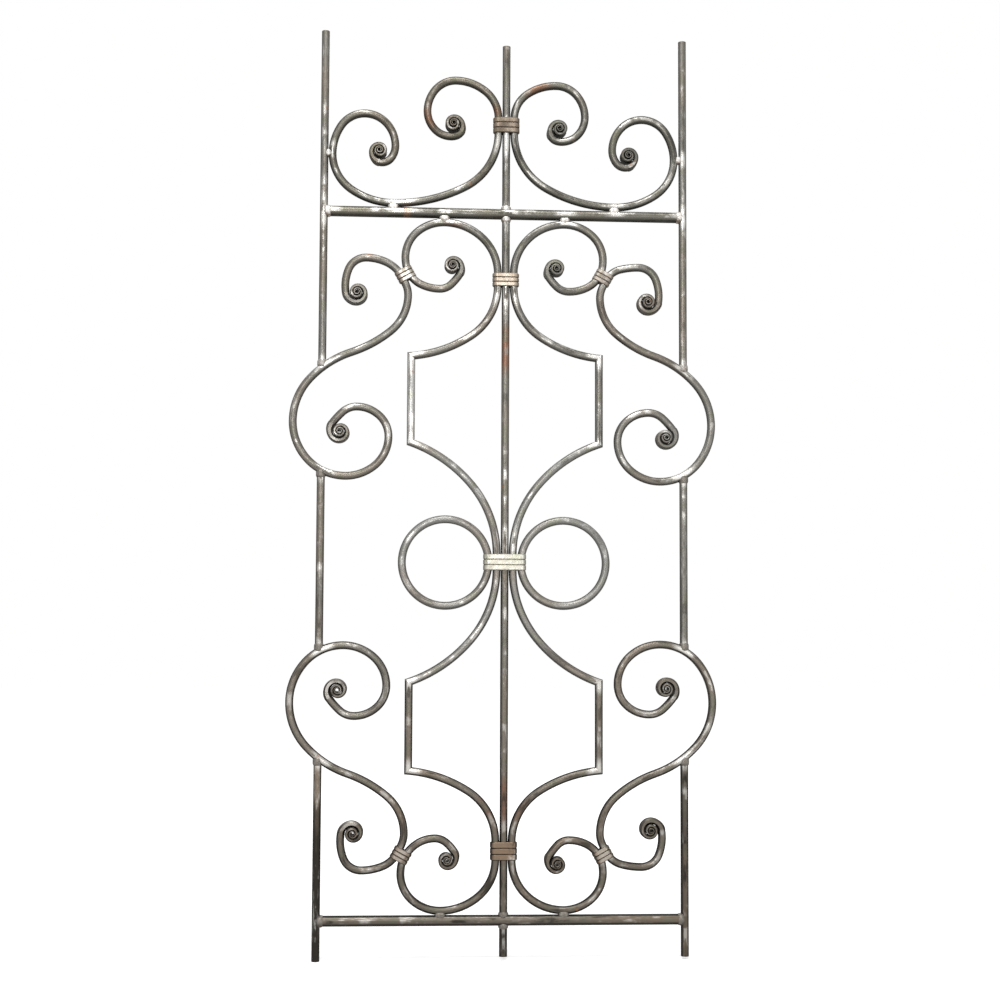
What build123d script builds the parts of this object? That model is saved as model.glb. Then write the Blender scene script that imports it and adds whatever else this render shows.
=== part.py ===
from build123d import *
from math import atan2, cos, degrees, hypot, radians, sin, sqrt
import os

# A wrought iron grille panel of round bar: stiles, rails, a centre bar, scrolls with rolled ends,
# rings, and collars wrapped round the bars where they meet.
# Millimetres. X runs to the right, Z up, and the bars lie in the plane Y = 0.
# The origin is the cut end of the centre bar's foot, on that bar's axis.

# Stock
bar_diameter = 12.0
rail_diameter = 16.0
touch_gap = 0.2

# Frame
stile_reach = {"left": 277.5, "right": 272.5}
rail_spacing = 1066.0
foot_length = {"left": 58.5, "centre": 53.0, "right": 54.5}
head_length = {"left": 279.0, "centre": 262.0, "right": 276.5}

# Collars wrapped round bars that lie side by side
collar_ribs = 3
collar_wall = 2.0
collar_rounding = 1.1
collar_clearance = 0.1
crown_collar_height = 24.0
inner_collar_height = {"upper": 20.5, "lower": 27.0}
middle_collar_height = 24.5
twin_collar_height = 19.0

# Rolled scroll ends: each turn is a fixed share of the turn outside it
coil_ratio = 0.5
coil_turns = 3.0
coil_gap = 0.5
coil_eye_width = 28.0
coil_steps_per_turn = 10
coil_corner_share = 0.29
small_coil_reach = 19.0
large_coil_reach = 22.0

# Crown scroll, heights above the top rail
crown_collar_rise = 138.0
crown_lift = {"left": 2.3, "right": -2.3}
crown_stile_gap = {"left": 0.2, "right": 1.5}
crown_inner_top = (65.0, 205.0)
crown_inner_side = (109.0, 156.5)
crown_inner_bottom = (72.5, 117.4)
crown_inner_eye = (69.0, 135.5)
crown_bowl_inset = 93.0
crown_stile_rise = 89.5
crown_outer_top = (49.0, 152.4)
crown_outer_side = (95.5, 103.0)
crown_outer_eye = (71.5, 93.3)

# Inner scroll, distances from the centre bar's axis and inwards from its rail
inner_collar_inset = 102.0
inner_rail_reach = 92.0
inner_side = (151.2, 68.8)
inner_bottom = (99.5, 118.4)
inner_eye = (80.6, 84.8)
inner_spread = {"left": 2.0, "right": -2.0}
inner_end_drift = {
    "upper left": (-1.4, 2.9),
    "upper right": (-1.8, 0.6),
    "lower left": (2.1, -4.5),
    "lower right": (1.1, 1.9),
}

# Twin collar, where an inner scroll and a side scroll touch
twin_centre = (151.0, 96.0)
twin_heading = -119.0

# Side scroll, from the twin collar's centre and from the stile's axis
side_small_top = (58.0, 75.4)
side_small_eye = (71.0, 130.1)
side_small_drift = {
    "upper left": (1.5, 4.5),
    "upper right": (-3.0, -3.5),
    "lower left": (0.5, 1.5),
    "lower right": (0.0, -2.0),
}
side_neck = (-4.4, 127.4)
side_run = (-44.2, 216.2)
side_run_heading = -19.0
side_bulge = (43.1, 322.0)
side_hook_bottom = (-36.2, 407.5)
side_hook_side = (-101.0, 347.2)
side_hook_top = (-53.0, 302.2)
side_large_eye = (-28.0, 340.9)
side_large_drift = {"upper left": 3.0, "upper right": -1.0, "lower left": 0.5, "lower right": -2.5}

# Middle bow, straight links and rings
link_reach = 143.0
bow_half_height = 180.5
bow_end_slope = 19.0
inner_end_inset = 220.6
inner_end_slope = 5.0
ring_diameter = {"left": 130.5, "right": 129.0}
ring_drop = 1.0

# Weld beads: half length along the joint and radius across it
bead_clearance = 0.12
bead_rounding = 0.8
bead_wedge = 3.0
crossing_bead = (8.5, 7.2)
stile_bead = (6.0, 6.4)
rail_end_bead = (6.0, 9.2)
centre_bead = (5.0, 7.6)
cope_bead = (8.0, 7.4)

# Worked out from the sizes above
bar_radius = bar_diameter / 2
rail_radius = rail_diameter / 2
bar_pitch = bar_diameter + touch_gap
bottom_rail_z = foot_length["centre"]
top_rail_z = bottom_rail_z + rail_spacing
middle_z = bottom_rail_z + rail_spacing / 2
rail_reach = rail_radius + touch_gap + bar_radius
sides = {"left": -1, "right": 1}
levels = {"upper": 1, "lower": -1}
mitre_overrun = 1.5 * bar_diameter


def direction(heading):
    """Unit vector in the panel's plane, the heading counted from +X towards +Z."""
    return Vector(cos(radians(heading)), 0, sin(radians(heading)))


def at(station):
    return Vector(station[0], 0, station[1])


def arc_or_line(start, tangent, end):
    """One edge that leaves start along tangent and stops at end, with its end tangent."""
    chord = end - start
    side_step = chord.cross(tangent).length
    if side_step < 1e-4 * chord.length:
        return Line(start, end), tangent
    edge = TangentArc(start, end, tangent=tangent)
    return edge, edge % 1


def joined(first, last):
    """Two tangent arcs, or a straight run, from one station (u, v, heading) to the next."""
    start, end = at(first), at(last)
    leave, arrive = direction(first[2]), direction(last[2])
    chord = end - start
    if chord.cross(leave).length < 1e-6 and chord.cross(arrive).length < 1e-6:
        return [Line(start, end)]
    both = leave + arrive
    along = chord.dot(both)
    spread = 2 * (1 - leave.dot(arrive))
    if spread < 1e-9:
        reach = chord.dot(chord) / (4 * chord.dot(leave))
    else:
        reach = (sqrt(along * along + spread * chord.dot(chord)) - along) / spread
    meet = (start + leave * reach + end - arrive * reach) * 0.5
    one, tangent = arc_or_line(start, leave, meet)
    two, tangent = arc_or_line(meet, tangent, end)
    return [one, two]


def path_through(stations):
    edges = []
    for first, last in zip(stations, stations[1:]):
        edges += joined(first, last)
    return Wire([edge.edge() if hasattr(edge, "edge") else edge for edge in edges])


def bar_along(stations, radius=bar_radius):
    path = path_through(stations)
    section = Plane(origin=path @ 0, z_dir=path % 0) * Circle(radius)
    return sweep(section, path=path)


def seat(u, v, heading, length):
    """Two stations with a straight run between them, where a collar holds the bar."""
    step = direction(heading) * (length / 2)
    return [(u - step.X, v - step.Z, heading), (u + step.X, v + step.Z, heading)]


class Coil:
    """A bar's end drawn out to a ribbon and rolled, seen from the front.

    start is the direction from the eye to the point where the bar meets the roll,
    and turn is 1 where the roll winds anticlockwise and -1 where it winds clockwise.
    """

    def __init__(self, eye, start, turn, reach):
        self.eye, self.start, self.turn, self.reach = eye, start, turn, reach

    def thickness(self, angle):
        drawn = self.reach * self.coil_share(angle) * (1 - coil_ratio) - coil_gap
        first = self.reach * (1 - coil_ratio) - coil_gap
        left = max(0.0, 1 - angle / 90)
        return drawn + (bar_diameter - first) * left * left

    def coil_share(self, angle):
        return coil_ratio ** (angle / 360)

    def radius(self, angle):
        inner_edge = self.reach * self.coil_share(angle + 360) + coil_gap
        return inner_edge + self.thickness(angle) / 2

    def point(self, angle):
        out = direction(self.start + self.turn * angle)
        return at(self.eye) + out * self.radius(angle)

    def tangent(self, angle):
        return (self.point(angle + 0.5) - self.point(angle)).normalized()

    def station(self):
        """Where the bar ends, with its heading into the roll."""
        point, tangent = self.point(0), self.tangent(0)
        return (point.X, point.Z, degrees(atan2(tangent.Z, tangent.X)))

    def outward_station(self):
        """The same place for a bar that is drawn from the roll."""
        u, v, heading = self.station()
        return (u, v, heading + 180)

    def section(self, angle):
        thick = self.thickness(angle)
        share = angle / (360 * coil_turns)
        width = bar_diameter + (coil_eye_width - bar_diameter) * sin(radians(90 * share))
        corner = coil_corner_share * thick
        a, b = thick / 2, width / 2
        c, d = a - corner, b - corner
        outline = Polygon(
            (a, -d), (a, d), (c, b), (-c, b), (-a, d), (-a, -d), (-c, -b), (c, -b), align=None
        )
        tangent = self.tangent(angle)
        across = Vector(0, 1, 0).cross(tangent)
        return Plane(origin=self.point(angle), x_dir=across, z_dir=tangent) * outline

    def solid(self):
        steps = round(coil_steps_per_turn * coil_turns)
        sections = [self.section(360 * coil_turns * i / steps) for i in range(steps + 1)]
        return loft(sections)


def cut_beyond(solid, corner, normal):
    """Takes away what reaches past the plane through corner, on the side of normal."""
    size = 4 * bar_diameter
    start = at(corner) - normal * (touch_gap / 4)
    block = Box(size, size, size, align=(Align.CENTER, Align.CENTER, Align.MIN))
    return solid - Plane(origin=start, z_dir=normal) * block


def mitre_normal(arriving, leaving):
    return (direction(arriving) + direction(leaving)).normalized()


def crown_stations(side):
    """A crown scroll from its inner rolled end, down through the crown collar, to its outer one."""
    contact = bar_pitch
    lift = crown_lift[side]
    stile = stile_reach[side] - bar_diameter - crown_stile_gap[side]
    inner = Coil(
        (contact + crown_inner_eye[0], top_rail_z + crown_inner_eye[1] + lift), -135, -1, small_coil_reach
    )
    outer = Coil(
        (stile - crown_outer_eye[0], top_rail_z + crown_outer_eye[1]), -90, 1, small_coil_reach
    )
    u_bottom, z_bottom = crown_inner_bottom
    u_side, z_side = crown_inner_side
    u_top, z_top = crown_inner_top
    stations = [
        inner.outward_station(),
        (contact + u_bottom, top_rail_z + z_bottom + lift, 0),
        (contact + u_side, top_rail_z + z_side + lift, 90),
        (contact + u_top, top_rail_z + z_top + lift, 180),
        *seat(contact, top_rail_z + crown_collar_rise, 270, crown_collar_height),
        (stile - crown_bowl_inset, top_rail_z + rail_reach, 360),
        (stile, top_rail_z + crown_stile_rise, 450),
        (stile - crown_outer_top[0], top_rail_z + crown_outer_top[1], 540),
        (stile - crown_outer_side[0], top_rail_z + crown_outer_side[1], 630),
        outer.station(),
    ]
    return stations, [inner, outer]


def inner_stations(side, level):
    """An inner scroll from its mitred corner, over its rail, to its rolled end."""
    rail = rail_spacing / 2
    spread = inner_spread[side]
    out, up = inner_end_drift[f"{level} {side}"]
    coil = Coil((inner_eye[0] + spread + out, rail - inner_eye[1] + up), -135, -1, small_coil_reach)
    twin = twin_axis(side, -1)
    stations = [
        (link_reach, rail - inner_end_inset, 180 - inner_end_slope),
        *seat(bar_pitch, rail - inner_collar_inset, 90, inner_collar_height[level]),
        (inner_rail_reach + spread, rail - rail_reach, 0),
        (inner_side[0] + spread, rail - inner_side[1], -90),
        (twin.X, twin.Z, twin_heading),
        (inner_bottom[0] + spread + out / 2, rail - inner_bottom[1] + up / 2, -180),
        coil.station(),
    ]
    return stations, coil


def twin_point(side):
    return Vector(twin_centre[0] + inner_spread[side], 0, rail_spacing / 2 - twin_centre[1])


def twin_axis(side, which):
    """A point on one of the two bars in a twin collar: -1 the inner scroll, 1 the side scroll."""
    across = direction(twin_heading + 90)
    return twin_point(side) + across * (which * bar_pitch / 2)


def side_stations(side, level):
    """A side scroll from its small rolled end, round the bulge past the stile, to its large one."""
    rail = rail_spacing / 2
    neck_u = twin_point(side).X
    stile = stile_reach[side]
    out, up = side_small_drift[f"{level} {side}"]
    lift = side_large_drift[f"{level} {side}"]
    small_eye = (neck_u + side_small_eye[0] + out, rail - side_small_eye[1] + up)
    large_eye = (stile + side_large_eye[0], rail - side_large_eye[1] + lift)
    small = Coil(small_eye, 0, -1, large_coil_reach)
    large = Coil(large_eye, 45, -1, large_coil_reach)
    twin = twin_axis(side, 1)
    stations = [
        small.outward_station(),
        (neck_u + side_small_top[0] + out, rail - side_small_top[1] + up, 180),
        (twin.X, twin.Z, twin_heading),
        (neck_u + side_neck[0], rail - side_neck[1], -90),
        (stile + side_run[0], rail - side_run[1], side_run_heading),
        (stile + side_bulge[0], rail - side_bulge[1], -90),
        (stile + side_hook_bottom[0], rail - side_hook_bottom[1] + lift, -180),
        (stile + side_hook_side[0], rail - side_hook_side[1] + lift, -270),
        (stile + side_hook_top[0], rail - side_hook_top[1] + lift, -360),
        large.station(),
    ]
    return stations, [small, large]


def placed(shape, side, level="upper"):
    """Puts a quarter's shape, built to the right of the middle and above mid height, in its place."""
    if level == "lower":
        shape = mirror(shape, about=Plane.XY)
    if side == "left":
        shape = mirror(shape, about=Plane.YZ)
    return Pos(0, 0, middle_z) * shape


def crown_scroll(side):
    stations, coils = crown_stations(side)
    scroll = bar_along(stations)
    for coil in coils:
        scroll = scroll + coil.solid()
    return mirror(scroll, about=Plane.YZ) if side == "left" else scroll


def crown_bowl(side, radius):
    """The lower part of a crown scroll at another radius, with its touch points on rail and stile."""
    stations, _ = crown_stations(side)
    bowl = bar_along(stations[5:9], radius)
    on_rail, on_stile = stations[6][0], stations[7][1]
    return mirror(bowl, about=Plane.YZ) if side == "left" else bowl, on_rail, on_stile


def inner_scroll(side, level):
    stations, coil = inner_stations(side, level)
    u, v, heading = stations[0]
    lead = direction(heading) * mitre_overrun
    overrun = [(u - lead.X, v - lead.Z, heading)]
    scroll = bar_along(overrun + stations) + coil.solid()
    scroll = cut_beyond(scroll, (u, v), mitre_normal(heading + 180, -90))
    return placed(scroll, side, level)


def side_scroll(side, level):
    stations, coils = side_stations(side, level)
    scroll = bar_along(stations)
    for coil in coils:
        scroll = scroll + coil.solid()
    return placed(scroll, side, level)


def middle_bow(side):
    """The bowed bar between two links, which touches the centre bar at mid height."""
    u = link_reach
    arriving, leaving = 180 + bow_end_slope, -bow_end_slope
    lead_in, lead_out = direction(arriving) * mitre_overrun, direction(leaving) * mitre_overrun
    stations = [
        (u - lead_in.X, bow_half_height - lead_in.Z, arriving),
        (u, bow_half_height, arriving),
        *seat(bar_pitch, 0, 270, middle_collar_height),
        (u, -bow_half_height, leaving),
        (u + lead_out.X, -bow_half_height + lead_out.Z, leaving),
    ]
    bow = bar_along(stations)
    bow = cut_beyond(bow, (u, bow_half_height), mitre_normal(arriving + 180, 90))
    bow = cut_beyond(bow, (u, -bow_half_height), mitre_normal(leaving, -90))
    return placed(bow, side)


def link(side, level):
    """The straight bar between the corner of an inner scroll and the corner of the bow."""
    u = link_reach
    top, bottom = rail_spacing / 2 - inner_end_inset, bow_half_height
    length = top - bottom + 2 * mitre_overrun
    bar = Pos(u, 0, bottom - mitre_overrun) * Cylinder(
        bar_radius, length, align=(Align.CENTER, Align.CENTER, Align.MIN)
    )
    bar = cut_beyond(bar, (u, top), mitre_normal(90, 180 - inner_end_slope))
    bar = cut_beyond(bar, (u, bottom), mitre_normal(-90, 180 + bow_end_slope))
    return placed(bar, side, level)


def ring(side, radius=bar_radius):
    reach = ring_diameter[side] / 2
    torus = Rot(90, 0, 0) * Torus(reach, radius)
    return placed(Pos(2 * bar_pitch + reach, 0, -ring_drop) * torus, side)


def collar_blank(count, height):
    """A ribbed band for count bars side by side along X, the bars running along Z."""
    between = (count - 1) * bar_pitch
    rib_height = height / collar_ribs
    outside = bar_diameter + 2 * (collar_clearance + collar_wall)
    rib = extrude(SlotCenterToCenter(between, outside), rib_height)
    rib = chamfer(rib.edges().filter_by(Plane.XY), collar_rounding)
    band = Part() + [Pos(0, 0, rib_height * i - height / 2) * rib for i in range(collar_ribs)]
    cavity = extrude(SlotCenterToCenter(between, bar_diameter + 2 * collar_clearance), height)
    return band - Pos(0, 0, -height / 2) * cavity


def crown_collar():
    return Pos(0, 0, top_rail_z + crown_collar_rise) * collar_blank(3, crown_collar_height)


def inner_collar(level):
    v = levels[level] * (rail_spacing / 2 - inner_collar_inset)
    return Pos(0, 0, middle_z + v) * collar_blank(3, inner_collar_height[level])


def middle_collar():
    collar = Pos(0, 0, middle_z) * collar_blank(5, middle_collar_height)
    for side in sides:
        collar = collar - ring(side, bar_radius + collar_clearance)
    return collar


def twin_collar(side, level):
    """A collar round an inner scroll and a side scroll, cut to the curve of both."""
    along = direction(twin_heading)
    across = direction(twin_heading + 90)
    collar = Plane(origin=twin_point(side), x_dir=across, z_dir=along) * collar_blank(2, twin_collar_height)
    inner, _ = inner_stations(side, level)
    outer, _ = side_stations(side, level)
    clear = bar_radius + collar_clearance
    collar = collar - bar_along(inner[4:7], clear) - bar_along(outer[1:4], clear)
    return placed(collar, side, level)


def upright(x, bottom, top, radius=bar_radius):
    bar = Cylinder(radius, top - bottom, align=(Align.CENTER, Align.CENTER, Align.MIN))
    return Pos(x, 0, bottom) * bar


def stile_pieces(side):
    """The foot, middle and head pieces of a stile, each end cut to the side scroll it meets."""
    bottom = bottom_rail_z - foot_length[side]
    top = top_rail_z + head_length[side]
    stile = upright(sides[side] * stile_reach[side], bottom, top)
    for level in levels:
        stations, _ = side_stations(side, level)
        thick = bar_along(stations[4:7], bar_radius + touch_gap)
        stile = stile - placed(thick, side, level)
    foot, _, middle, _, head = stile.solids().sort_by(Axis.Z)
    return {"foot": foot, "middle": middle, "head": head}


def rail(z, radius=rail_radius, overrun=0.0):
    ends = [sides[side] * (stile_reach[side] - bar_radius - touch_gap + overrun) for side in sides]
    bar = Cylinder(radius, ends[1] - ends[0])
    return Pos(sum(ends) / 2, 0, z) * Rot(0, 90, 0) * bar


def centre_pieces():
    seat_off = rail_radius + touch_gap
    top = top_rail_z + head_length["centre"]
    return {
        "centre_foot": upright(0, bottom_rail_z - foot_length["centre"], bottom_rail_z - seat_off),
        "centre_bar": upright(0, bottom_rail_z + seat_off, top_rail_z - seat_off),
        "centre_head": upright(0, top_rail_z + seat_off, top),
    }


def bead(x, z, heading, size, parted=False):
    """A rounded lump of weld about a joint's line, before the bars are cut out of it.

    A parted one leaves out the narrow wedge between two bars that lie side by side.
    """
    half_length, radius = size
    lump = Cylinder(radius, 2 * half_length)
    lump = fillet(lump.edges().filter_by(GeomType.CIRCLE), bead_rounding * min(size))
    if parted:
        lump = lump - Box(2 * bead_wedge, bead_wedge, 3 * half_length)
    return Plane(origin=(x, 0, z), x_dir=(0, 1, 0), z_dir=direction(heading)) * lump


def rail_beads(level, rail_z):
    """The beads where bars cross, touch or butt against one rail."""
    up = levels[level]
    clear = bead_clearance
    solids = []
    bars = rail(rail_z, rail_radius + clear, bar_diameter)
    for way in (1, -1):
        solids.append(bead(0, rail_z + way * (rail_radius + touch_gap / 2), 90, centre_bead))
    bars = bars + upright(0, rail_z - 60, rail_z + 60, bar_radius + clear)
    for side in sides:
        x = sides[side] * stile_reach[side]
        bars = bars + upright(x, rail_z - 60, rail_z + 60, bar_radius + clear)
        solids.append(bead(x - sides[side] * (bar_radius + touch_gap / 2), rail_z, 0, rail_end_bead))
        stations, _ = inner_stations(side, level)
        bars = bars + placed(bar_along(stations[2:5], bar_radius + clear), side, level)
        x = sides[side] * stations[3][0]
        solids.append(bead(x, rail_z - up * (rail_radius + touch_gap / 2), 0, crossing_bead, True))
        if level == "upper":
            bowl, on_rail, _ = crown_bowl(side, bar_radius + clear)
            bars = bars + bowl
            x = sides[side] * on_rail
            solids.append(bead(x, rail_z + rail_radius + touch_gap / 2, 0, crossing_bead, True))
    return Compound(children=[piece for solid in solids for piece in (solid - bars).solids()])


def stile_beads(side):
    """The beads where the crown scroll touches a stile and where the stile's ends meet the side scrolls."""
    clear = bead_clearance
    x = sides[side] * stile_reach[side]
    bowl, _, on_stile = crown_bowl(side, bar_radius + clear)
    touch = sides[side] * (stile_reach[side] - bar_radius - crown_stile_gap[side] / 2)
    stile = upright(x, 0, top_rail_z + head_length[side], bar_radius + clear)
    parted = crown_stile_gap[side] < 3 * touch_gap
    beads = [bead(touch, on_stile, 90, stile_bead, parted) - bowl - stile]
    for level in levels:
        stations, _ = side_stations(side, level)
        scroll = placed(bar_along(stations[4:7], bar_radius + clear), side, level)
        path = path_through(stations[4:7])
        crossings = path.intersect(Axis((stile_reach[side], 0, 0), (0, 0, 1)))
        for point, way in zip(sorted(crossings, key=lambda point: -point.Z), (1, -1)):
            z = middle_z + levels[level] * (point.Z + way * bar_radius)
            beads.append(bead(x, z, 90, cope_bead) - scroll - stile)
    return Compound(children=[piece for lump in beads for piece in lump.solids()])


def all_nodes():
    nodes = centre_pieces()
    nodes["top_rail"] = rail(top_rail_z)
    nodes["bottom_rail"] = rail(bottom_rail_z)
    nodes["top_rail_welds"] = rail_beads("upper", top_rail_z)
    nodes["bottom_rail_welds"] = rail_beads("lower", bottom_rail_z)
    nodes["crown_collar"] = crown_collar()
    nodes["middle_collar"] = middle_collar()
    for level in levels:
        nodes[f"{level}_inner_collar"] = inner_collar(level)
    for side in sides:
        for place, piece in stile_pieces(side).items():
            nodes[f"{side}_stile_{place}"] = piece
        nodes[f"{side}_crown_scroll"] = crown_scroll(side)
        nodes[f"{side}_middle_bow"] = middle_bow(side)
        nodes[f"{side}_ring"] = ring(side)
        nodes[f"{side}_stile_welds"] = stile_beads(side)
        for level in levels:
            nodes[f"{level}_{side}_inner_scroll"] = inner_scroll(side, level)
            nodes[f"{level}_{side}_side_scroll"] = side_scroll(side, level)
            nodes[f"{level}_{side}_link"] = link(side, level)
            nodes[f"{level}_{side}_twin_collar"] = twin_collar(side, level)
    return nodes


def main():
    os.makedirs("parts", exist_ok=True)
    for name, shape in all_nodes().items():
        export_step(shape, f"parts/{name}.step")


main()
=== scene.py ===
import math
import bpy
from mathutils import Euler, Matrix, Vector


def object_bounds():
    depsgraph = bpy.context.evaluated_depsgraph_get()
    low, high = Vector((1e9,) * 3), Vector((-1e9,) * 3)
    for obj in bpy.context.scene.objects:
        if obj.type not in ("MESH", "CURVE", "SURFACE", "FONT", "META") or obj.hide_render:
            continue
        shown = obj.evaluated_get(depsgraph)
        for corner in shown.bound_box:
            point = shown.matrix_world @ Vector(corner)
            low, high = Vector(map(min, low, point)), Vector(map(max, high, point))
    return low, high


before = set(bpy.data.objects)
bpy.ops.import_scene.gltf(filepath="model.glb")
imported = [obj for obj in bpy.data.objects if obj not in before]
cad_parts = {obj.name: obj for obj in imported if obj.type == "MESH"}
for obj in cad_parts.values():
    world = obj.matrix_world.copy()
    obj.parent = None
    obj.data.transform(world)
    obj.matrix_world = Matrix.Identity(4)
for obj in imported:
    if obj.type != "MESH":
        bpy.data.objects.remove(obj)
cad_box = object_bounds()

# Where the bars meet, in metres in the frame
LEFT_STILE, RIGHT_STILE = -0.2775, 0.2725
TOP_RAIL, BOTTOM_RAIL = 1.119, 0.053
MIDDLE = (TOP_RAIL + BOTTOM_RAIL) / 2
LINK = 0.143

# Heights over which the finish, and the painted light and shade, change from where it starts to
# where it is complete
DULL_FEET = (0.62, 0.10)
# Painted shade on the lower bars' sides, from where it starts to where it is complete
SHADED_EDGES = (0.80, 0.45)
# Painted light: how much an upward face counts as lit, rising from the first height to the second
LIT_TOPS = (0.45, 0.85)
DARK_WELDS = (1.00, 0.80)
BURNT_FEET = (0.42, 0.05)
BURNT_LEFT_FOOT = (0.238, 0.205)

# Pale of the rubbed and ground patches, shown as a painted highlight on faces turned up and out
RUBBED_AND_SHEEN = (0.66, 0.645, 0.61)
RUST = (0.26, 0.115, 0.048)
FRESH_RUST = (0.42, 0.14, 0.045)

WHITE = (1, 1, 1, 1)
FLOOR_GREY = (0.80, 0.80, 0.80, 1)
FLOOR_HALF_WIDTH = 12.0
AIM = (0.0, 0.0, 0.7)

CAMERA_PLACE = (-0.1510, -2.3000, 0.4714)
CAMERA_TURN = (93.5691, -0.2611, -3.2722)
CAMERA_SHIFT = (0.00866, 0.04291)
LENS, SENSOR = 55.042, 36.0


def mirrored(u, v):
    """The same place in all four quarters: u from the centre bar, v from mid height."""
    return [(sx * u, MIDDLE + sz * v) for sx in (-1, 1) for sz in (-1, 1)]


# Where the joints were ground bright, as x, z and reach
BRIGHT_SPOTS = (
    [(-0.262, TOP_RAIL + 0.0945, 0.020), (0.266, TOP_RAIL + 0.090, 0.020)]
    + [(-0.160, TOP_RAIL + 0.008, 0.034), (0.170, TOP_RAIL + 0.008, 0.022)]
    + [(-0.092, TOP_RAIL - 0.010, 0.026), (0.092, TOP_RAIL - 0.010, 0.026)]
    + [(LEFT_STILE, TOP_RAIL, 0.034), (RIGHT_STILE, TOP_RAIL, 0.026), (0.0, TOP_RAIL, 0.026)]
    + [(x, z, 0.026) for x, z in mirrored(LINK, 0.3138)]
    + [(x, z, 0.022) for x, z in mirrored(LINK, 0.1805)]
    + [(x, z, 0.024) for x, z in mirrored(0.272, 0.294)]
    + [(x, z, 0.024) for x, z in mirrored(0.272, 0.135)]
    + [(x, z, 0.020) for x, z in mirrored(0.150, 0.437)]
    + [(0.0, z, 0.030) for z in (TOP_RAIL + 0.108, TOP_RAIL - 0.125, MIDDLE + 0.032)]
)

# Rust by the left crown scroll's weld and on the upper left small scroll
WELD_RUST = (-0.151, TOP_RAIL + 0.002, 0.0125)
RUST_SPOTS = [WELD_RUST, (-0.206, TOP_RAIL - 0.064, 0.010)]

# Where the torch left the iron tan
TAN_SPOTS = [
    (0.052, TOP_RAIL + 0.186, 0.030),
    (-0.118, TOP_RAIL + 0.150, 0.028),
    (-0.018, TOP_RAIL + 0.160, 0.018),
    (-0.084, TOP_RAIL - 0.036, 0.030),
    (0.0, TOP_RAIL - 0.210, 0.050),
    (0.0, BOTTOM_RAIL + 0.175, 0.050),
]


def tinted(colour, red=1.0, green=1.0, blue=1.0):
    """The colour with its parts scaled, as a node takes it."""
    return (colour[0] * red, colour[1] * green, colour[2] * blue, 1)


class Tree:
    """Short calls for the nodes of one material, or of the world."""

    def __init__(self, owner, shader="Principled BSDF"):
        owner.use_nodes = True
        self.owner = owner
        self.nodes = owner.node_tree.nodes
        self.links = owner.node_tree.links
        self.shader = self.nodes[shader]

    def node(self, kind, **settings):
        made = self.nodes.new("ShaderNode" + kind)
        for key, value in settings.items():
            setattr(made, key, value)
        return made

    def feed(self, socket, value):
        if hasattr(value, "links"):
            self.links.new(value, socket)
        else:
            socket.default_value = value

    def shade(self, **values):
        """Sets the shader's sockets, named with _ for a space."""
        for name, value in values.items():
            self.feed(self.shader.inputs[name.replace("_", " ")], value)

    def math(self, operation, a, b=0.0, clamp=False):
        made = self.node("Math", operation=operation, use_clamp=clamp)
        self.feed(made.inputs[0], a)
        self.feed(made.inputs[1], b)
        return made.outputs[0]

    def times(self, a, b, clamp=False):
        return self.math("MULTIPLY", a, b, clamp)

    def plus(self, a, b, clamp=False):
        return self.math("ADD", a, b, clamp)

    def most(self, a, b, clamp=False):
        return self.math("MAXIMUM", a, b, clamp)

    def noise(self, vector, scale, detail=3.0, roughness=0.55):
        made = self.node("TexNoise")
        self.feed(made.inputs["Vector"], vector)
        made.inputs["Scale"].default_value = scale
        made.inputs["Detail"].default_value = detail
        made.inputs["Roughness"].default_value = roughness
        return made.outputs["Fac"]

    def between(self, value, low, high, to_low=0.0, to_high=1.0):
        """Maps low..high smoothly to to_low..to_high."""
        made = self.node("MapRange", interpolation_type="SMOOTHSTEP")
        self.feed(made.inputs["Value"], value)
        made.inputs["From Min"].default_value = low
        made.inputs["From Max"].default_value = high
        made.inputs["To Min"].default_value = to_low
        made.inputs["To Max"].default_value = to_high
        return made.outputs[0]

    def mix(self, factor, a, b):
        made = self.node("Mix", data_type="RGBA")
        self.feed(made.inputs["Factor"], factor)
        self.feed(made.inputs[6], a)
        self.feed(made.inputs[7], b)
        return made.outputs[2]

    def stretched(self, vector, scale):
        made = self.node("Mapping")
        self.feed(made.inputs["Vector"], vector)
        made.inputs["Scale"].default_value = scale
        return made.outputs[0]

    def part(self, vector, axis):
        made = self.node("SeparateXYZ")
        self.feed(made.inputs[0], vector)
        return made.outputs[axis]

    def facing(self, normal, out, up):
        """How far a surface faces up and outwards, to the front or to the back alike, which sets
        painted light and shade.
        """
        outwards = self.times(self.math("ABSOLUTE", self.part(normal, "Y")), out)
        return self.plus(outwards, self.times(self.part(normal, "Z"), up))

    def near(self, vector, spots):
        """1 close to any of the spots (x, z, radius), 0 away from all of them."""
        total = 0.0
        for x, z, radius in spots:
            away = self.node("VectorMath", operation="DISTANCE")
            self.feed(away.inputs[0], vector)
            away.inputs[1].default_value = (x, 0.0, z)
            mask = self.between(away.outputs["Value"], radius, radius * 0.35)
            total = self.most(total, mask)
        return total

    def seen(self):
        """1 for rays from the camera, a reflection or through a clear piece, 0 for light."""
        path = self.node("LightPath")
        seen = self.most(path.outputs["Is Camera Ray"], path.outputs["Is Glossy Ray"])
        return self.most(seen, path.outputs["Is Transmission Ray"])

    def bump(self, height, strength, distance):
        made = self.node("Bump")
        made.inputs["Strength"].default_value = strength
        made.inputs["Distance"].default_value = distance
        self.feed(made.inputs["Height"], height)
        return made.outputs[0]


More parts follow.
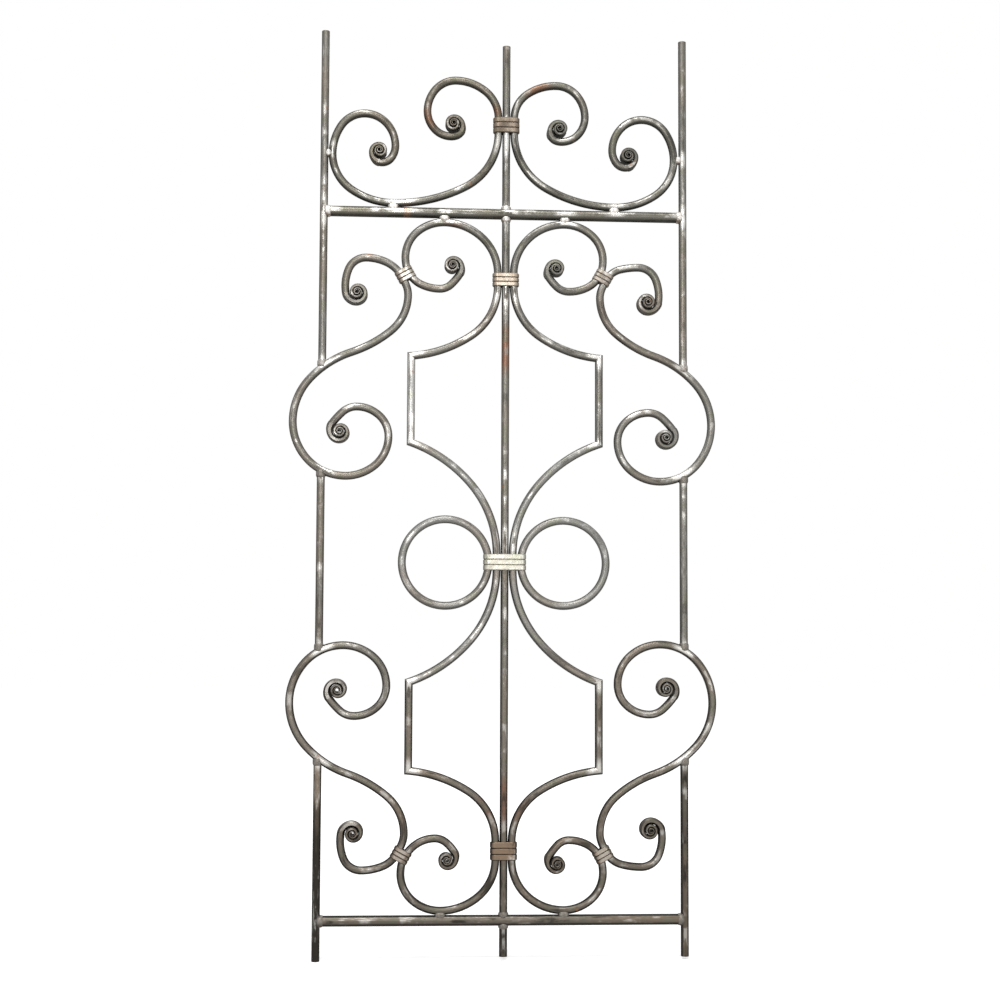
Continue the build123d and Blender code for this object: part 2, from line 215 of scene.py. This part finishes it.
class Iron(Tree):
    """One tone of bare forged iron: its noises, and which way and how high its surface lies."""

    def __init__(self, name):
        super().__init__(bpy.data.materials.new(name))
        coordinates = self.node("TexCoord")
        self.place = coordinates.outputs["Object"]
        self.broad = self.noise(self.place, scale=6.0, detail=2.0)
        self.cloud = self.noise(self.place, scale=34.0)
        self.fine = self.noise(self.place, scale=520.0, roughness=0.6)
        # Slow in X and Z and quick in Y, so that it streaks along every bar, bent or straight
        along = self.stretched(self.place, (0.13, 2.4, 0.13))
        self.streak = self.noise(along, scale=170.0, detail=4.0, roughness=0.6)

        self.height = self.part(self.place, "Z")
        self.down = self.between(self.height, *DULL_FEET)
        # Painted light and shade: how far each face turns up and out, upward faces counting more
        # higher up
        up = self.between(self.height, *LIT_TOPS, 0.20, 0.60)
        self.lit = self.facing(coordinates.outputs["Normal"], 0.80, up)

    def bare(self, mid, brown, tan):
        """The iron's own colour, with warm, tan and olive clouds."""
        warmth = self.times(self.between(self.broad, 0.45, 0.62), 0.45)
        low_warmth = self.plus(self.times(self.down, 0.55), brown)
        warmth = self.plus(warmth, low_warmth, clamp=True)
        base = self.mix(warmth, tinted(mid), tinted(mid, 1.05, 0.86, 0.72))
        base = self.mix(tan, base, tinted(mid, 1.12, 0.66, 0.50))
        olive = self.between(self.cloud, 0.52, 0.68, 0.0, 0.7)
        return self.mix(olive, base, tinted(mid, 0.88, 0.90, 0.74))

    def painted_shade_and_soot(self, burn, burnt_below):
        """Where it is dark: painted shade underneath and on the lower bars' sides, dark streaks,
        burnt feet, and darker towards the bottom.
        """
        # Painted shade on faces turned down, eased a little along the streaks
        under_shade = self.between(self.lit, 0.80, -0.05)
        shade_and_soot_mask = self.times(under_shade, self.between(self.streak, 0.30, 0.62, 1.0, 0.72))
        shade_and_soot_mask = self.most(shade_and_soot_mask, self.times(self.between(self.streak, 0.46, 0.34), 0.55))
        # Painted shade on the sides of the bars low down
        low = self.between(self.height, *SHADED_EDGES)
        shaded_edges = self.times(self.between(self.lit, 0.76, 0.50), self.times(low, 0.8))
        shade_and_soot_mask = self.most(shade_and_soot_mask, shaded_edges)
        burnt = self.between(self.broad, 0.62, 0.40, 0.25 * burn, 0.60 * burn)
        burnt = self.times(self.between(self.height, *burnt_below), burnt)
        return self.plus(self.plus(shade_and_soot_mask, burnt), self.times(self.down, 0.16), clamp=True)

    def polish_and_sheen(self, patches, tan):
        """Where it is rubbed or ground bright, shown only on faces turned up and outwards, so
        partly a painted highlight.
        """
        rubbed = self.between(self.cloud, 0.54, 0.42)
        rubbed = self.times(rubbed, self.between(self.streak, 0.50, 0.60))
        ground = self.near(self.place, BRIGHT_SPOTS)
        ground = self.times(ground, self.between(self.streak, 0.40, 0.50))
        bright = self.most(self.times(rubbed, 0.6), ground)
        strength = self.math("SUBTRACT", patches, self.times(self.down, 0.45 * patches))
        strength = self.times(strength, self.between(tan, 0.0, 1.0, 1.0, 0.3))
        # Painted highlight: the pale patches show only where the face turns up and outwards
        outwards = self.between(self.lit, 0.45, 0.85)
        return self.times(self.times(bright, strength), outwards, clamp=True)

    def rust(self):
        spots = self.times(self.near(self.place, RUST_SPOTS), self.between(self.fine, 0.36, 0.50))
        specks = self.between(self.noise(self.place, scale=52.0, detail=4.0), 0.68, 0.74)
        return self.most(spots, self.times(specks, 0.5))

    def relief(self, lumps):
        """Hammer dents, with the streaks and a fine grain on them."""
        dents = self.noise(self.place, scale=75.0, detail=2.0)
        height = self.plus(self.times(dents, 2.2 * lumps), self.times(self.streak, 0.5))
        height = self.plus(height, self.times(self.fine, 0.3))
        return self.bump(height, strength=0.6, distance=0.0007)


def iron(
    name, mid=(0.154, 0.148, 0.133), under_shade=(0.026, 0.023, 0.019),
    patches=1.0, brown=0.0, rough=0.37, lumps=1.0, burn=0.4, burnt_below=BURNT_FEET,
):
    """Bare forged iron, with a painted highlight where it faces up and outwards and painted shade
    underneath, over its own rubbed, ground, rusty and dark-streaked tones.
    """
    t = Iron(name)
    torch = t.between(t.cloud, 0.30, 0.50, 0.4, 1.0)
    tan = t.times(t.near(t.place, TAN_SPOTS), torch)
    polish_and_sheen = t.polish_and_sheen(patches, tan)
    # Darkest colour where there is painted shade underneath and on the lower bars' sides, and in
    # dark streaks and burnt patches
    base = t.mix(t.painted_shade_and_soot(burn, burnt_below), t.bare(mid, brown, tan), tinted(under_shade))
    # Pale rubbed and ground patches, a painted highlight where they face up and out
    base = t.mix(polish_and_sheen, base, tinted(RUBBED_AND_SHEEN))
    base = t.mix(t.rust(), base, tinted(RUST))
    dull = t.math("SUBTRACT", rough, t.times(polish_and_sheen, 0.14))
    t.shade(
        Base_Color=base,
        Metallic=0.8,
        Roughness=t.plus(dull, t.times(t.fine, 0.10)),
        Specular_Tint=(0.30, 0.29, 0.27, 1),
        Normal=t.relief(lumps),
    )
    return t.owner


def collar(name, mid, under_shade, patches=0.5, brown=0.1, rough=0.36, lumps=0.5):
    """Collar iron, paler than the bars and with shallower dents."""
    return iron(name, mid, under_shade, patches, brown, rough, lumps)


def weld(name):
    """Weld metal, lumpy: pale on top of each lump and brown round its foot, set by which way it
    faces as a painted highlight and painted shade, broken by lump noise.
    """
    t = Tree(bpy.data.materials.new(name))
    coordinates = t.node("TexCoord")
    place = coordinates.outputs["Object"]
    lump = t.noise(place, scale=190.0, roughness=0.6)
    fine = t.noise(place, scale=700.0)
    low = t.between(t.part(place, "Z"), *DARK_WELDS)
    pale = t.mix(low, (0.55, 0.53, 0.50, 1), (0.17, 0.155, 0.135, 1))
    brown = t.mix(low, (0.150, 0.114, 0.084, 1), (0.055, 0.044, 0.034, 1))
    # Painted light and shade: pale where the bead faces up and out, brown where it turns away
    outwards = t.between(t.facing(coordinates.outputs["Normal"], 0.90, 0.43), 0.15, 0.85)
    lit_and_clean = t.plus(outwards, t.between(lump, 0.35, 0.65, -0.4, 0.3))
    base = t.mix(t.most(lit_and_clean, 0.0, clamp=True), brown, pale)
    rusty = t.times(t.near(place, [WELD_RUST]), t.between(lump, 0.38, 0.50))
    height = t.plus(lump, t.times(fine, 0.15))
    t.shade(
        Base_Color=t.mix(rusty, base, tinted(FRESH_RUST)),
        Metallic=0.7,
        Roughness=t.between(fine, 0.3, 0.7, 0.38, 0.56),
        Normal=t.bump(height, strength=0.8, distance=0.0016),
    )
    return t.owner


bar_iron = iron("bar_iron")
upright_iron = iron("upright_iron", burn=1.35)
crown_iron = iron("crown_iron", (0.119, 0.115, 0.099), (0.013, 0.012, 0.009), patches=0.75)
pale_iron = iron("pale_iron", (0.200, 0.196, 0.184), (0.048, 0.046, 0.042))
weld_iron = weld("weld_iron")
twin_iron = collar("twin_collar_iron", (0.29, 0.26, 0.228), (0.07, 0.058, 0.046))

# Nodes with a finish of their own
OWN_FINISH = {
    "left_stile_foot": iron(
        "left_foot_iron", (0.19, 0.172, 0.146),
        patches=1.4, burn=2.2, burnt_below=BURNT_LEFT_FOOT,
    ),
    "upper_left_link": iron(
        "bright_link_iron", (0.40, 0.395, 0.38), (0.07, 0.068, 0.064), patches=2.4,
    ),
    "crown_collar": collar(
        "crown_collar_iron", (0.202, 0.172, 0.138), (0.040, 0.030, 0.022),
        patches=0.4, brown=0.25,
    ),
    "upper_inner_collar": collar(
        "upper_collar_iron", (0.335, 0.282, 0.222), (0.05, 0.042, 0.03), patches=0.35,
    ),
    "middle_collar": collar(
        "middle_collar_iron", (0.50, 0.50, 0.445), (0.085, 0.082, 0.068),
        patches=1.2, brown=-0.2, rough=0.32, lumps=0.8,
    ),
    "lower_inner_collar": collar(
        "lower_collar_iron", (0.225, 0.186, 0.148), (0.04, 0.03, 0.022),
        patches=2.0, rough=0.34, lumps=0.8,
    ),
}


def finish_of(name):
    if name in OWN_FINISH:
        return OWN_FINISH[name]
    if name.endswith("twin_collar"):
        return twin_iron
    if name.endswith("welds"):
        return weld_iron
    if "stile" in name or name == "centre_foot":
        return upright_iron
    if "crown" in name or name == "top_rail":
        return crown_iron
    return pale_iron if name.endswith(("bow", "ring")) else bar_iron


for name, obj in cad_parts.items():
    obj.data.materials.clear()
    obj.data.materials.append(finish_of(name))


def camera_only_white(name, base, near_lift, far_lift, near_reach, far_reach):
    """Pale diffuse ground, nearly white to the camera and reflections, more so far away."""
    t = Tree(bpy.data.materials.new(name))
    away = t.node("VectorMath", operation="LENGTH")
    t.feed(away.inputs[0], t.node("TexCoord").outputs["Object"])
    lift = t.between(away.outputs["Value"], near_reach, far_reach, near_lift, far_lift)
    t.shade(
        Base_Color=base,
        Roughness=1.0,
        Specular_IOR_Level=0.0,
        Emission_Color=WHITE,
        Emission_Strength=t.times(t.seen(), lift),
    )
    return t.owner


def lay_floor(half, z):
    corners = [(-half, -half, z), (half, -half, z), (half, half, z), (-half, half, z)]
    mesh = bpy.data.meshes.new("floor")
    mesh.from_pydata(corners, [], [(0, 1, 2, 3)])
    mesh.materials.append(camera_only_white(
        "floor_white", FLOOR_GREY, near_lift=0.45, far_lift=0.70, near_reach=0.5, far_reach=2.6,
    ))
    floor = bpy.data.objects.new("floor", mesh)
    bpy.context.scene.collection.objects.link(floor)


lay_floor(FLOOR_HALF_WIDTH, cad_box[0].z)

world = bpy.data.worlds.new("studio")
bpy.context.scene.world = world
sky = Tree(world, "Background")
sky.shade(Color=WHITE, Strength=sky.between(sky.seen(), 0.0, 1.0, 0.45, 1.0))


def area(name, place, size, watts):
    """A soft lamp aimed at the panel."""
    lamp = bpy.data.lights.new(name, "AREA")
    lamp.shape = "RECTANGLE"
    lamp.size, lamp.size_y = size
    lamp.energy = watts
    obj = bpy.data.objects.new(name, lamp)
    obj.location = place
    obj.rotation_euler = (Vector(AIM) - Vector(place)).to_track_quat("-Z", "Y").to_euler()
    bpy.context.scene.collection.objects.link(obj)


area("key", (-0.3, -1.3, 3.3), (1.4, 0.8), 62)
area("front", (-0.5, -3.0, 1.5), (0.7, 0.7), 34)
area("fill", (1.6, -2.2, 1.0), (1.0, 1.0), 8)
area("back", (0.5, 2.6, 2.2), (1.0, 1.0), 22)

camera = bpy.data.cameras.new("camera")
camera.lens = LENS
camera.sensor_width = SENSOR
camera.shift_x, camera.shift_y = CAMERA_SHIFT
camera.clip_start, camera.clip_end = 0.05, 60.0
eye = bpy.data.objects.new("camera", camera)
eye.location = CAMERA_PLACE
eye.rotation_euler = Euler([math.radians(angle) for angle in CAMERA_TURN], "XYZ")
bpy.context.scene.collection.objects.link(eye)
bpy.context.scene.camera = eye
bpy.context.scene.view_settings.view_transform = "Standard"
